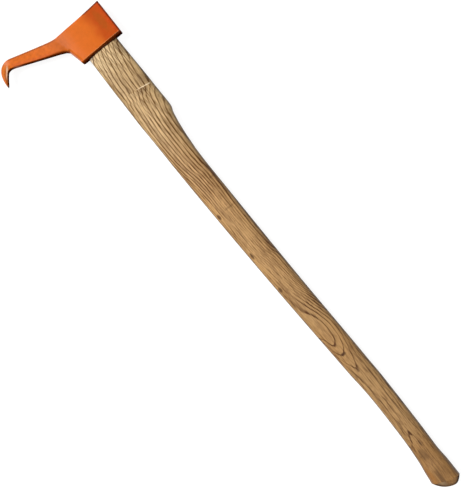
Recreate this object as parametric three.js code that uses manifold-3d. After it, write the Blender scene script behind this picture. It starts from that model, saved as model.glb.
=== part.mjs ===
import * as THREE from "three";
import { mergeVertices } from "three/addons/utils/BufferGeometryUtils.js";
import Module from "manifold-3d";

// Log hook: a forged steel head with a downturned beak, hung on a bowed ash handle.
// It lies on its side, in millimetres: +X runs from the head to the knob, -Y is the beak's side,
// +Y the poll's side and +Z is up. The origin is on the cheek it rests on, under the eye's middle.

// Whole tool
const overallLength = 914.4; // top of the head to the end of the knob
const fitClearance = 0.3; // between pieces that touch
const cutOverrun = 6; // how far a cutter runs past what it cuts

// Head: sizes along the handle are rises above the foot, sizes square to it are reaches
const headHeight = 56.4; // at the poll
const headThickness = 32; // across the cheeks at the poll
const pollReach = 38.6; // eye centre to the striking face
const cheekFlatReach = 8; // eye centre to where the cheeks start to draw in
const topDip = 3.9; // how far the top of the socket falls below the poll's top
const footSlope = 1.5; // how far the foot drops from the poll to the nose
const noseReach = 38.5; // eye centre to the front of the socket at its foot
const noseRadius = 5; // rounding of the socket's nose in plan
const noseCorner = 2; // rounding of the nose at the foot
const neckReach = 43.2; // eye centre to the top of the nose
const neckRise = 22; // foot to the top of the nose
const hookReach = 151; // eye centre to the beak's tip
const bendRise = 74.4; // foot to the top of the beak's bend
const armThickness = 16;
const armFlareReach = 88; // eye centre to where the cheeks have become the arm
const edgeRound = 1.2; // along the edges
const neckRound = 5; // along the arm's lower edge where it leaves the socket
const partingLand = 1.2; // least width of any edge
const tipThickness = 0.7;

// Eye: a tapered oval, widest at the top, where the wedges spread the handle
const eyeLength = 54.4; // at the foot
const eyeWidth = 20.6; // at the foot
const eyeTopWidth = 23.4; // at the poll's height; the eye is longer by as much as it is wider
const eyeSquareness = 2.6;

// Handle: widths are seen from the side, thicknesses from the poll
const tenonProud = 1.8; // how far the handle stands out of the top of the eye
const tongueLength = 85; // foot of the head to the end of the flat-sided tongue
const tongueWidth = 56;
const tongueThickness = 25.2;
const tongueLean = 8; // how far the tongue's end slants across its width
const stepLength = 2.6; // rise from the tongue to the swell
const swellThickness = 29.6;
const swellEnd = 129.5; // foot of the head to the corner behind the swell
const swellWidth = 56.8;
const swellEndThickness = 26.6;
const waistPlace = 215; // foot of the head to the waist
const waistWidth = 44.2;
const waistThickness = 26;
const waistShift = -5.1; // side shift of the middle line, towards the beak's side
const gripPlace = 700;
const gripWidth = 34.8;
const gripThickness = 24.4;
const gripShift = 8.1;
const knobWidth = 43;
const knobThickness = 32;
const knobShift = 3.9;
const knobSlant = 13.9; // how far the knob's rim leans over its width
const knobDome = 15; // height of the rounded end over the rim

// Wedges
const woodWedgeThickness = 6.8; // at the top of the eye
const woodWedgeEdge = 1.4; // at its thin end
const woodWedgeDepth = 40;
const woodWedgeWidth = 54;
const steelWedgeThickness = 3.8;
const steelWedgeEdge = 1.2;
const steelWedgeDepth = 26;
const steelWedgeWidth = 15.5;
const steelWedgeSpacing = 25; // between the two, along the eye
const steelWedgeSteps = 3;

// Facets
const ringSides = 36;
const domeRings = 6;

const midHeight = headThickness / 2;
const footPlace = headHeight / 2; // x of the head's foot: the origin is at half the head's height
const knobEndPlace = overallLength - headHeight; // foot of the head to the end of the knob

const wasm = await Module();
wasm.setup();

function solid(geometry) {
  geometry.deleteAttribute("normal");
  geometry.deleteAttribute("uv");
  const merged = mergeVertices(geometry);
  return new wasm.Manifold(
    new wasm.Mesh({
      numProp: 3,
      vertProperties: merged.attributes.position.array,
      triVerts: new Uint32Array(merged.index.array),
    }),
  );
}

function piece(name, body, look) {
  const mesh = body.getMesh();
  const geometry = new THREE.BufferGeometry();
  geometry.setAttribute("position", new THREE.BufferAttribute(mesh.vertProperties, mesh.numProp));
  geometry.setIndex(new THREE.BufferAttribute(mesh.triVerts, 1));
  geometry.computeVertexNormals();
  const made = new THREE.Mesh(geometry, new THREE.MeshStandardMaterial(look));
  made.name = name;
  return made;
}

// A closed skin over rings of points; each end is closed with a fan round its own middle point.
function loft(rings, startMiddle, endMiddle) {
  const sides = rings[0].length;
  const points = [...rings.flat(), startMiddle, endMiddle];
  const start = points.indexOf(startMiddle);
  const end = points.indexOf(endMiddle);
  const last = start - sides;
  const faces = [];
  for (let side = 0; side < sides; side++) {
    const next = (side + 1) % sides;
    for (let ring = 0; ring < rings.length - 1; ring++) {
      const here = ring * sides;
      const there = here + sides;
      faces.push(here + side, here + next, there + next);
      faces.push(here + side, there + next, there + side);
    }
    faces.push(start, next, side);
    faces.push(end, last + side, last + next);
  }
  const geometry = new THREE.BufferGeometry().setFromPoints(points);
  geometry.setIndex(faces);
  return geometry;
}

function middleOf(ring) {
  const sum = new THREE.Vector3();
  ring.forEach((point) => sum.add(point));
  return sum.divideScalar(ring.length);
}

// A smooth reading of a table of [place, value] rows, with no overshoot between two rows.
function readTable(rows, place) {
  const slopes = rows.slice(1).map((row, i) => (row[1] - rows[i][1]) / (row[0] - rows[i][0]));
  const bend = (before, after) => (before * after > 0 ? (2 * before * after) / (before + after) : 0);
  const tangents = rows.map((row, i) => {
    if (i === 0) return slopes[0];
    if (i === rows.length - 1) return slopes[i - 1];
    return bend(slopes[i - 1], slopes[i]);
  });
  const inside = THREE.MathUtils.clamp(place, rows[0][0], rows[rows.length - 1][0]);
  const i = Math.max(rows.findIndex((row) => row[0] >= inside) - 1, 0);
  const span = rows[i + 1][0] - rows[i][0];
  const t = (inside - rows[i][0]) / span;
  const rise = rows[i + 1][1] - rows[i][1] - span * tangents[i];
  const turn = span * (tangents[i] + tangents[i + 1]) - 2 * (rows[i + 1][1] - rows[i][1]);
  return rows[i][1] + t * span * tangents[i] + t * t * (rise - turn) + t * t * t * turn;
}

// The head's side view is two edges, each a chain of curves in (reach, rise). Both chains have as
// many curves, and a section line joins each point of the outer edge to its partner on the inner.
const outerArmShares = {
  rootReach: 0.36,
  rootRise: 0.723,
  startReach: 0.43,
  startRise: 0.762,
  endReach: 0.805,
  endRise: 0.986,
  bendReach: 0.948,
  bendRise: 0.909,
};
const innerArmShares = {
  rootReach: 0.318,
  rootRise: 0.377,
  startReach: 0.38,
  startRise: 0.435,
  endReach: 0.787,
  endRise: 0.768,
  bendReach: 0.902,
  bendRise: 0.8,
  tipReach: 0.996,
  tipRise: 0.537,
};
// Handles of the curves round the beak, in the same shares
const outerBendHandleShares = [0.86, 1.017, 0.92, 0.984];
const innerBendHandleShares = [0.832, 0.806, 0.866, 0.836];
const outerBeakHandleShares = [0.98, 0.839, 0.999, 0.709];
const innerBeakHandleShares = [0.928, 0.757, 0.967, 0.635];
const outerTipRiseShare = 0.537;

function hookPoint(reachShare, riseShare) {
  return new THREE.Vector2(reachShare * hookReach, riseShare * bendRise);
}

function hookBend(from, handleShares, to) {
  const leave = hookPoint(handleShares[0], handleShares[1]);
  const arrive = hookPoint(handleShares[2], handleShares[3]);
  return new THREE.CubicBezierCurve(from, leave, arrive, to);
}

function outerEdge() {
  const arm = outerArmShares;
  const topRise = headHeight - topDip;
  const cheekDipShare = 0.83;
  const poll = new THREE.Vector2(-pollReach, headHeight);
  const cheekDip = new THREE.Vector2(cheekFlatReach, headHeight - topDip * cheekDipShare);
  const pollHandleRise = cheekDip.y + (topDip - footSlope) / 2;
  const pollHandle = new THREE.Vector2((cheekFlatReach - pollReach) / 2, pollHandleRise);
  const overNose = new THREE.Vector2(noseReach - noseCorner, topRise);
  const pastNose = new THREE.Vector2(noseReach, topRise);
  const overNeck = new THREE.Vector2(neckReach + noseCorner, topRise);
  const root = hookPoint(arm.rootReach, arm.rootRise);
  const start = hookPoint(arm.startReach, arm.startRise);
  const end = hookPoint(arm.endReach, arm.endRise);
  const bend = hookPoint(arm.bendReach, arm.bendRise);
  const tip = new THREE.Vector2(hookReach, outerTipRiseShare * bendRise);
  const rootHandle = new THREE.Vector2((root.x + overNeck.x) / 2, topRise);
  const along = end.clone().sub(start).normalize();
  const startHandle = start.clone().addScaledVector(along, (root.x - start.x) / 2);
  return [
    new THREE.QuadraticBezierCurve(poll, pollHandle, cheekDip),
    new THREE.LineCurve(cheekDip, overNose),
    new THREE.LineCurve(overNose, pastNose),
    new THREE.LineCurve(pastNose, overNeck),
    new THREE.QuadraticBezierCurve(overNeck, rootHandle, root),
    new THREE.QuadraticBezierCurve(root, startHandle, start),
    new THREE.LineCurve(start, end),
    hookBend(end, outerBendHandleShares, bend),
    hookBend(bend, outerBeakHandleShares, tip),
  ];
}

function innerEdge() {
  const arm = innerArmShares;
  const slopeAt = (reach) => (-footSlope * (reach + pollReach)) / (noseReach + pollReach);
  const poll = new THREE.Vector2(-pollReach, 0);
  const cheek = new THREE.Vector2(cheekFlatReach, slopeAt(cheekFlatReach));
  const foot = new THREE.Vector2(noseReach - noseCorner, slopeAt(noseReach - noseCorner));
  const corner = new THREE.Vector2(noseReach, slopeAt(noseReach));
  const nose = new THREE.Vector2(noseReach, noseCorner);
  const neck = new THREE.Vector2(neckReach, neckRise);
  const root = hookPoint(arm.rootReach, arm.rootRise);
  const start = hookPoint(arm.startReach, arm.startRise);
  const end = hookPoint(arm.endReach, arm.endRise);
  const bend = hookPoint(arm.bendReach, arm.bendRise);
  const tip = hookPoint(arm.tipReach, arm.tipRise);
  const fillet = new THREE.Vector2(neckReach, neckRise + (root.x - neckReach) * (bendRise / hookReach));
  return [
    new THREE.LineCurve(poll, cheek),
    new THREE.LineCurve(cheek, foot),
    new THREE.QuadraticBezierCurve(foot, corner, nose),
    new THREE.LineCurve(nose, neck),
    new THREE.QuadraticBezierCurve(neck, fillet, root),
    new THREE.LineCurve(root, start),
    new THREE.LineCurve(start, end),
    hookBend(end, innerBendHandleShares, bend),
    hookBend(bend, innerBeakHandleShares, tip),
  ];
}

// How many section lines each pair of curves gets
const sectionCounts = [3, 8, 5, 8, 8, 5, 6, 10, 12];

// Plan view: the cheeks draw in to the arm, and the arm to the tip. Rows are [share of the way,
// share of the change], from the end of the flat cheek to the arm, then round the beak.
const flareShares = [
  [0, 0],
  [0.2, 0.06],
  [0.34, 0.2],
  [0.46, 0.44],
  [0.58, 0.7],
  [0.74, 0.89],
  [1, 1],
];
const beakTaperShares = [
  [0.88, 0],
  [0.95, 0.08],
  [0.97, 0.18],
  [0.985, 0.36],
  [0.993, 0.6],
  [0.998, 1],
  [1, 1],
];

function halfThicknessAt(reach) {
  const flareSpan = armFlareReach - cheekFlatReach;
  const flared = readTable(flareShares, (reach - cheekFlatReach) / flareSpan);
  const plain = THREE.MathUtils.lerp(headThickness, armThickness, flared);
  const tapered = readTable(beakTaperShares, reach / hookReach);
  return THREE.MathUtils.lerp(plain, tipThickness, tapered) / 2;
}

// The beak is ground to two facets a side, which meet at a ridge; each row is [share of the way
// from the outer edge, share of the thickness]
const facetShares = [
  [0, 0.44],
  [0.56, 1],
  [1, 0.8],
];
const facetStartShare = 0.8;
const facetFullShare = 0.93;
const middleShare = 0.5;
const acrossShares = [0, 0.02, 0.06, 0.2, 0.38, 0.56, 0.73, 0.82, 0.9, 0.95, 0.98, 1];

function facetFactor(across) {
  const [outer, ridge, inner] = facetShares;
  if (across < ridge[0]) return THREE.MathUtils.mapLinear(across, outer[0], ridge[0], outer[1], ridge[1]);
  return THREE.MathUtils.mapLinear(across, ridge[0], inner[0], ridge[1], inner[1]);
}

function roundedShare(distance, radius) {
  const left = 1 - Math.min(distance / radius, 1);
  return Math.sqrt(1 - left * left);
}

// Rounding of the edge that a point of a section line is nearest to
function edgeRadius(across, reach) {
  const pastNose = THREE.MathUtils.smoothstep(reach, noseReach, neckReach);
  const pastNeck = THREE.MathUtils.smoothstep(reach, neckReach, armFlareReach);
  const lower = THREE.MathUtils.lerp(edgeRound, neckRound, pastNose * (1 - pastNeck));
  return across > middleShare ? lower : edgeRound;
}

// Half the head's thickness at a point of one section line
function headHalf(point, across, length, reach, noseLine) {
  const ground = THREE.MathUtils.smoothstep(reach / hookReach, facetStartShare, facetFullShare);
  const full = halfThicknessAt(reach) * THREE.MathUtils.lerp(1, facetFactor(across), ground);
  const place = new THREE.Vector3(point.x, point.y, 0);
  const toNose = noseLine.closestPointToPoint(place, true, new THREE.Vector3()).distanceTo(place);
  const nosed = full * roundedShare(toNose, noseRadius);
  const toEdge = Math.min(across, 1 - across) * length;
  const radius = edgeRadius(across, reach);
  const eased = nosed - radius * (1 - ground) * (1 - roundedShare(toEdge, radius));
  return Math.max(eased, Math.min(partingLand / 2, full));
}

function headBlank() {
  const outer = outerEdge();
  const inner = innerEdge();
  const noseLine = new THREE.Line3(
    new THREE.Vector3(noseReach, noseCorner, 0),
    new THREE.Vector3(neckReach, neckRise, 0),
  );
  const rings = [];
  outer.forEach((curve, pair) => {
    const count = sectionCounts[pair];
    const first = pair === 0 ? 0 : 1;
    for (let step = first; step <= count; step++) {
      const top = curve.getPoint(step / count);
      const foot = inner[pair].getPoint(step / count);
      const length = top.distanceTo(foot);
      const reach = (top.x + foot.x) / 2;
      const upper = acrossShares.map((across) => {
        const point = top.clone().lerp(foot, across);
        const half = headHalf(point, across, length, reach, noseLine);
        return new THREE.Vector3(footPlace - point.y, -point.x, midHeight + half);
      });
      const mirrored = (point) => new THREE.Vector3(point.x, point.y, headThickness - point.z);
      const lower = upper.map(mirrored).reverse();
      rings.push([...upper, ...lower].reverse());
    }
  });
  return solid(loft(rings, middleOf(rings[0]), middleOf(rings[rings.length - 1])));
}

// An oval ring square to X; the lean moves each point along X by its side place
function ovalRing(along, width, thickness, shift, squareness, lean = 0) {
  const ring = [];
  for (let side = 0; side < ringSides; side++) {
    const turn = (side / ringSides) * 2 * Math.PI;
    const bulge = (value) => Math.sign(value) * Math.abs(value) ** (2 / squareness);
    const y = (bulge(Math.cos(turn)) * width) / 2;
    const z = (bulge(Math.sin(turn)) * thickness) / 2;
    ring.push(new THREE.Vector3(footPlace + along + lean * y, shift + y, midHeight + z));
  }
  return ring;
}

// The eye at a rise above the foot, drawn in by a clearance
function eyeRing(rise, clearance) {
  const flare = (eyeTopWidth - eyeWidth) * (rise / headHeight);
  const inset = 2 * clearance;
  return ovalRing(-rise, eyeLength + flare - inset, eyeWidth + flare - inset, 0, eyeSquareness);
}

function eyeCutter() {
  const rings = [eyeRing(headHeight + cutOverrun, 0), eyeRing(-cutOverrun, 0)];
  return solid(loft(rings, middleOf(rings[0]), middleOf(rings[1])));
}

// Way of the bow from the waist to the grip: [share of the way, share of the change]
const bowWidthShares = [
  [0, 0],
  [0.19, 0.15],
  [0.5, 0.43],
  [0.82, 0.71],
  [1, 1],
];
const bowShiftShares = [
  [0, 0],
  [0.19, 0.1],
  [0.5, 0.375],
  [0.82, 0.805],
  [1, 1],
];
// From the swell's corner to the waist, and from the grip to the knob's rim
const swellFallShares = [
  [0, 0],
  [0.27, 0.46],
  [0.64, 0.82],
  [1, 1],
];
const knobFlareShares = [
  [0, 0],
  [0.36, 0.02],
  [0.68, 0.22],
  [0.82, 0.67],
  [0.92, 1],
  [1, 1],
];
const knobShiftShares = [
  [0, 0],
  [0.36, 0.12],
  [0.68, 0.56],
  [0.82, 0.73],
  [0.92, 0.93],
  [1, 1],
];
const swellRings = 7;
const bowRings = 14;
const knobRings = 12;
const tongueSquareness = 3.2;
const bodySquareness = 2.4;

function tenonRings() {
  const top = headHeight - topDip + tenonProud;
  return [eyeRing(top, fitClearance), eyeRing(0, fitClearance)];
}

function tongueRings() {
  const lean = tongueLean / tongueWidth;
  const stepEnd = tongueLength + stepLength;
  const middle = tongueLength / 2;
  const footWidth = eyeLength - 2 * fitClearance;
  const footThickness = eyeWidth - 2 * fitClearance;
  const middleWidth = (footWidth + tongueWidth) / 2;
  const middleThickness = (footThickness + tongueThickness) / 2;
  return [
    ovalRing(middle, middleWidth, middleThickness, 0, tongueSquareness, lean / 2),
    ovalRing(tongueLength, tongueWidth, tongueThickness, 0, tongueSquareness, lean),
    ovalRing(stepEnd, tongueWidth, swellThickness, 0, bodySquareness, lean),
    ovalRing(swellEnd, swellWidth, swellEndThickness, 0, bodySquareness),
  ];
}

function swellFallRings() {
  const rings = [];
  for (let step = 1; step <= swellRings; step++) {
    const way = step / swellRings;
    const fallen = readTable(swellFallShares, way);
    const along = THREE.MathUtils.lerp(swellEnd, waistPlace, way);
    const width = THREE.MathUtils.lerp(swellWidth, waistWidth, fallen);
    const thickness = THREE.MathUtils.lerp(swellEndThickness, waistThickness, way);
    rings.push(ovalRing(along, width, thickness, waistShift * fallen, bodySquareness));
  }
  return rings;
}

function bowOfHandleRings() {
  const rings = [];
  for (let step = 1; step <= bowRings; step++) {
    const way = step / bowRings;
    const along = THREE.MathUtils.lerp(waistPlace, gripPlace, way);
    const width = THREE.MathUtils.lerp(waistWidth, gripWidth, readTable(bowWidthShares, way));
    const thickness = THREE.MathUtils.lerp(waistThickness, gripThickness, way);
    const shift = THREE.MathUtils.lerp(waistShift, gripShift, readTable(bowShiftShares, way));
    rings.push(ovalRing(along, width, thickness, shift, bodySquareness));
  }
  return rings;
}

// The knob flares to a slanted rim, and a low dome closes it, highest towards the poll's side
const slantLateness = 8; // power of the way along the flare with which the slant sets in
const domePeakShare = 0.2; // side place of the peak from the rim's middle, as a share of the width

// How far the dome's outermost point lies past the rim's middle, along the handle
function domeReach() {
  const lift = (knobDome * knobWidth) / Math.hypot(knobWidth, knobSlant);
  const backSlope = knobSlant * (0.5 - domePeakShare);
  return knobSlant * domePeakShare + lift + backSlope ** 2 / (4 * lift);
}

function knobFlareRings() {
  const rings = [];
  const rimPlace = knobEndPlace - domeReach();
  for (let step = 1; step <= knobRings; step++) {
    const way = step / knobRings;
    const flared = readTable(knobFlareShares, way);
    const along = THREE.MathUtils.lerp(gripPlace, rimPlace, way);
    const width = THREE.MathUtils.lerp(gripWidth, knobWidth, flared);
    const thickness = THREE.MathUtils.lerp(gripThickness, knobThickness, flared);
    const shift = THREE.MathUtils.lerp(gripShift, knobShift, readTable(knobShiftShares, way));
    const lean = (knobSlant / knobWidth) * way ** slantLateness;
    rings.push(ovalRing(along, width, thickness, shift, bodySquareness, lean));
  }
  return rings;
}

function domePeak(rim) {
  const across = new THREE.Vector3(knobSlant, knobWidth, 0).multiplyScalar(domePeakShare);
  const outward = new THREE.Vector3(knobWidth, -knobSlant, 0).setLength(knobDome);
  return { foot: middleOf(rim).add(across), outward };
}

function knobDomeRings(rim) {
  const { foot, outward } = domePeak(rim);
  const rings = [];
  for (let step = 1; step < domeRings; step++) {
    const turn = (step / domeRings) * (Math.PI / 2);
    const lift = outward.clone().multiplyScalar(Math.sin(turn) ** 2);
    rings.push(rim.map((point) => foot.clone().lerp(point, Math.cos(turn)).add(lift)));
  }
  return rings;
}

function handleBlank() {
  const shaft = [
    ...tenonRings(),
    ...tongueRings(),
    ...swellFallRings(),
    ...bowOfHandleRings(),
    ...knobFlareRings(),
  ];
  const rim = shaft[shaft.length - 1];
  const rings = [...shaft, ...knobDomeRings(rim)];
  const { foot, outward } = domePeak(rim);
  return solid(loft(rings, middleOf(rings[0]), foot.add(outward)));
}

// A wedge lying along -X: its outline is drawn in (depth, half thickness) from the tenon's top
function wedgeFrom(outline, width) {
  const profile = new THREE.Shape(outline);
  const geometry = new THREE.ExtrudeGeometry(profile, { depth: width, bevelEnabled: false });
  return geometry.translate(0, 0, -width / 2);
}

const tenonTop = footPlace - (headHeight - topDip + tenonProud); // x of the tenon's end

// A plain taper from the tenon's end to a thin edge; the overrun runs straight out of the end
function taperOutline(thickness, edge, depth, clearance, overrun) {
  const top = thickness / 2 + clearance;
  const thin = edge / 2 + clearance;
  const flank = [
    new THREE.Vector2(depth + clearance, thin),
    new THREE.Vector2(0, top),
    new THREE.Vector2(-overrun, top),
  ];
  const other = flank.map((point) => new THREE.Vector2(point.x, -point.y));
  return [...other.reverse(), ...flank];
}

// The wooden wedge is as long as the eye and stands a hair proud of the tenon; its kerf is the
// same taper, sawn right through
function woodWedge() {
  const outline = taperOutline(woodWedgeThickness, woodWedgeEdge, woodWedgeDepth, 0, fitClearance);
  const geometry = wedgeFrom(outline, woodWedgeWidth).rotateX(Math.PI / 2);
  return solid(geometry.translate(tenonTop, 0, midHeight));
}

function kerf() {
  const sizes = [woodWedgeThickness, woodWedgeEdge, woodWedgeDepth];
  const outline = taperOutline(...sizes, fitClearance, cutOverrun);
  const geometry = wedgeFrom(outline, woodWedgeWidth + 2 * cutOverrun).rotateX(Math.PI / 2);
  return solid(geometry.translate(tenonTop, 0, midHeight));
}

// One flank of a steel wedge: each step is a short taper with a ledge that bites the wood
function steppedFlank() {
  const flank = [];
  const ledge = (steelWedgeThickness - steelWedgeEdge) / (4 * steelWedgeSteps);
  for (let step = 0; step < steelWedgeSteps; step++) {
    const from = step / steelWedgeSteps;
    const to = (step + 1) / steelWedgeSteps;
    const halfAt = (share) => THREE.MathUtils.lerp(steelWedgeThickness, steelWedgeEdge, share) / 2;
    flank.push(new THREE.Vector2(steelWedgeDepth * from, halfAt(from) - (step > 0 ? 0 : ledge)));
    flank.push(new THREE.Vector2(steelWedgeDepth * to, halfAt(to) - ledge));
  }
  return flank;
}

function steelWedge(side) {
  const flank = steppedFlank();
  const other = flank.map((point) => new THREE.Vector2(point.x, -point.y));
  const geometry = wedgeFrom([...flank, ...other.reverse()].reverse(), steelWedgeWidth);
  return solid(geometry.translate(tenonTop, (side * steelWedgeSpacing) / 2, midHeight));
}

function steelWedgePocket(side) {
  const sizes = [steelWedgeThickness, steelWedgeEdge, steelWedgeDepth];
  const outline = taperOutline(...sizes, fitClearance, cutOverrun);
  const geometry = wedgeFrom(outline, steelWedgeWidth + 2 * fitClearance);
  return solid(geometry.translate(tenonTop, (side * steelWedgeSpacing) / 2, midHeight));
}

const pollSide = 1;
const beakSide = -1;
const pockets = steelWedgePocket(pollSide).add(steelWedgePocket(beakSide));
const head = headBlank().subtract(eyeCutter());
const handle = handleBlank().subtract(kerf()).subtract(pockets);
const eyeWedge = woodWedge().subtract(pockets);

const enamel = { color: 0xe8743a, roughness: 0.4, metalness: 0 };
const ash = { color: 0xc49c66, roughness: 0.6, metalness: 0 };
const darkWood = { color: 0x8a5a34, roughness: 0.7, metalness: 0 };
const bareSteel = { color: 0x8c8f92, roughness: 0.45, metalness: 1 };

const group = new THREE.Group();
group.add(
  piece("head", head, enamel),
  piece("handle", handle, ash),
  piece("eye_wedge", eyeWedge, darkWood),
  piece("steel_wedge_1", steelWedge(pollSide), bareSteel),
  piece("steel_wedge_2", steelWedge(beakSide), bareSteel),
);

export default group;
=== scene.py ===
import math

import bpy
from mathutils import Matrix, Vector, noise


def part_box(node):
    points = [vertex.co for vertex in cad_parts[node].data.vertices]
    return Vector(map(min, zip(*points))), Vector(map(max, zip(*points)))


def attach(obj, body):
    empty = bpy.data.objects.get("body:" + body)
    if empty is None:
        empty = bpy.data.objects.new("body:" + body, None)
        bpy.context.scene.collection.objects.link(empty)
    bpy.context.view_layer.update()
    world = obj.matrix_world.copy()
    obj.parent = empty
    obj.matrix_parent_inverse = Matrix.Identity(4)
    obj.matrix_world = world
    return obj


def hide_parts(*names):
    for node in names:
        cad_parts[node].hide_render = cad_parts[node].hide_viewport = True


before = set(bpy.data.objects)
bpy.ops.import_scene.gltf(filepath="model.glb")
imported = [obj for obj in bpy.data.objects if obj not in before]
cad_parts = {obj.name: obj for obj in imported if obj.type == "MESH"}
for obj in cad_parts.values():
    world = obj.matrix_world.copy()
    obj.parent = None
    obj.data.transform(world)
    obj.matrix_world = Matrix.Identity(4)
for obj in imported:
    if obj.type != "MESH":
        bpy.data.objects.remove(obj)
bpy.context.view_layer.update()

# A log hook lies on its side: +X runs from head to knob, -Y is the beak's side and +Z is up.
# The dictionaries are in millimetres, the frame and all that is made from them in metres.
mm = 0.001
headLow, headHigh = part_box("head")
handleLow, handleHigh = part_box("handle")
midHeight = (headLow.z + headHigh.z) / 2 / mm
footPlace = 28.2  # x of the head's foot, where the handle leaves it


def metres(x, y, z):
    return Vector((x, y, z)) * mm


def putInScene(made):
    bpy.context.scene.collection.objects.link(made)
    return made


# nodes
def operators(operation):  # a plain and a reflected operator, which add a Math node
    def plain(self, other):
        return self.sheet.math(operation, self, other)

    def reflected(self, other):
        return self.sheet.math(operation, other, self)

    return plain, reflected


class Wire:  # one output socket; sums and products on it add Math nodes
    __add__, __radd__ = operators("ADD")
    __sub__, __rsub__ = operators("SUBTRACT")
    __mul__, __rmul__ = operators("MULTIPLY")
    __truediv__, __rtruediv__ = operators("DIVIDE")
    __pow__, __rpow__ = operators("POWER")

    def __init__(self, sheet, socket):
        self.sheet = sheet
        self.socket = socket

    def output(self, which):
        return Wire(self.sheet, self.socket.node.outputs[which])


class NodeSheet:  # a node tree that is written as expressions
    def __init__(self, tree):
        self.tree = tree

    def add(self, kind, settings=None, values=None, output=0):
        node = self.tree.nodes.new(kind)
        for name, value in (settings or {}).items():
            if name == "points":
                self.setPoints(node.mapping, value)
            else:
                setattr(node, name, value)
        self.plug(node, values or {})
        return Wire(self, node.outputs[output])

    def plug(self, node, values):  # links the wires and sets the plain values
        pairs = values.items() if isinstance(values, dict) else enumerate(values)
        for which, value in pairs:
            if isinstance(value, Wire):
                self.tree.links.new(value.socket, node.inputs[which])
            else:
                node.inputs[which].default_value = value

    def setPoints(self, mapping, points):
        curve = mapping.curves[0]
        while len(curve.points) < len(points):
            curve.points.new(1, 1)
        for point, (place, value) in zip(curve.points, points):
            point.location = (place, value)
            point.handle_type = "AUTO_CLAMPED"
        mapping.update()

    def math(self, operation, *values):
        return self.add("ShaderNodeMath", {"operation": operation}, list(values))

    def clamp(self, value):
        return self.add("ShaderNodeClamp", None, [value])

    def fade(self, value, start, end):  # 0 at start, 1 at end, with soft ends
        settings = {"interpolation_type": "SMOOTHSTEP"}
        values = {"Value": value, "From Min": start, "From Max": end}
        return self.add("ShaderNodeMapRange", settings, values)

    def span(self, value, ends):  # 0, then 1 from the second of four ends to the third, then 0
        start, full, leaving, gone = ends
        return self.fade(value, start, full) * self.fade(value, gone, leaving)

    def parts(self, vector):
        x = self.add("ShaderNodeSeparateXYZ", None, [vector])
        return x, x.output(1), x.output(2)

    def point(self, x, y, z):
        return self.add("ShaderNodeCombineXYZ", None, [x, y, z])

    def vector(self, operation, *values):
        return self.add("ShaderNodeVectorMath", {"operation": operation}, list(values))

    def scaled(self, vector, factor):
        values = {"Vector": vector, "Scale": factor}
        return self.add("ShaderNodeVectorMath", {"operation": "SCALE"}, values)

    def millimetres(self):  # the piece's own coordinates
        return self.scaled(self.add("ShaderNodeTexCoord", output=3), 1 / mm)

    def facing(self):  # which way the surface faces, as three numbers
        return self.parts(self.add("ShaderNodeNewGeometry", output=1))

    def bump(self, height, strength):
        values = {"Height": height, "Distance": mm, "Strength": strength}
        return self.add("ShaderNodeBump", None, values)

    def colours(self, mask, first, second, blend="MIX"):
        settings = {"data_type": "RGBA", "blend_type": blend}
        return self.add("ShaderNodeMix", settings, {0: mask, 6: first, 7: second}, output=2)

    def cloud(self, vector, detail=2.0, roughness=0.5):  # smooth noise round 0
        values = {"Vector": vector, "Scale": 1.0, "Detail": detail, "Roughness": roughness}
        return self.add("ShaderNodeTexNoise", None, values) - 0.5

    def grain(self, place, length, width, detail=2.0):  # noise drawn out along the fibres
        stretched = self.vector("MULTIPLY", place, (1 / length, 1 / width, 1 / width))
        return self.cloud(stretched, detail)

    def curve(self, points, value):
        return self.add("ShaderNodeFloatCurve", {"points": points}, {"Value": value})

    def paint(self, colour, look, layers):  # layers of a mask and a colour's name, the last on top
        for mask, name in layers:
            colour = self.colours(mask, colour, look[name])
        return colour


def alongLine(x, y, start, end):  # the share of the way from start to end, and how far beside it
    way = Vector(end) - Vector(start)
    length = way.length
    way.normalize()
    fromX, fromY = x - start[0], y - start[1]
    return (fromX * way.x + fromY * way.y) * (1 / length), fromX * way.y - fromY * way.x


def awayFrom(x, y, spot):  # squared distance from a spot's middle, 1 on its edge
    spotX, spotY, reach, width = spot
    return ((x - spotX) * (1 / reach)) ** 2 + ((y - spotY) * (1 / width)) ** 2


def shade(red, green, blue):  # a colour as an editor shows it, 0 to 255, made linear
    def linear(value):
        share = value / 255
        return share / 12.92 if share <= 0.04045 else ((share + 0.055) / 1.055) ** 2.4

    return (linear(red), linear(green), linear(blue), 1)


def newMaterial(name, display):
    material = bpy.data.materials.new(name)
    material.use_nodes = True
    material.diffuse_color = display
    sheet = NodeSheet(material.node_tree)
    surface = material.node_tree.nodes["Principled BSDF"]
    return material, sheet, surface


def coverWith(sheet, shader):
    sheet.tree.links.new(shader.socket, sheet.tree.nodes["Material Output"].inputs["Surface"])


def mattWhere(sheet, surface, mask, colour):  # no gloss where the mask is 1
    matt = sheet.add("ShaderNodeBsdfDiffuse", None, {"Color": colour})
    glossy = Wire(sheet, surface.outputs[0])
    coverWith(sheet, sheet.add("ShaderNodeMixShader", None, [mask, glossy, matt]))


# camera
photoView = {
    "place": (385.2, 38, 1647),
    "aim": (385.2, -32, 16),
    "up": (-0.7845, 0.6201, 0),
    "pictureHeight": 488 * 1.527,  # what the frame takes in at the aim
    "sensor": 36,
    "clip": (0.05, 50),  # metres
}


def makeCamera(view):
    place = metres(*view["place"])
    forward = metres(*view["aim"]) - place
    distance = forward.length
    forward.normalize()
    right = forward.cross(Vector(view["up"])).normalized()
    turn = Matrix((right, right.cross(forward), -forward)).transposed()
    data = bpy.data.cameras.new("camera")
    data.sensor_width = view["sensor"]
    data.lens = view["sensor"] * distance / (view["pictureHeight"] * mm)
    data.clip_start, data.clip_end = view["clip"]
    camera = bpy.data.objects.new("camera", data)
    camera.matrix_world = Matrix.Translation(place) @ turn.to_4x4()
    bpy.context.scene.camera = putInScene(camera)


makeCamera(photoView)
print("camera made")


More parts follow.
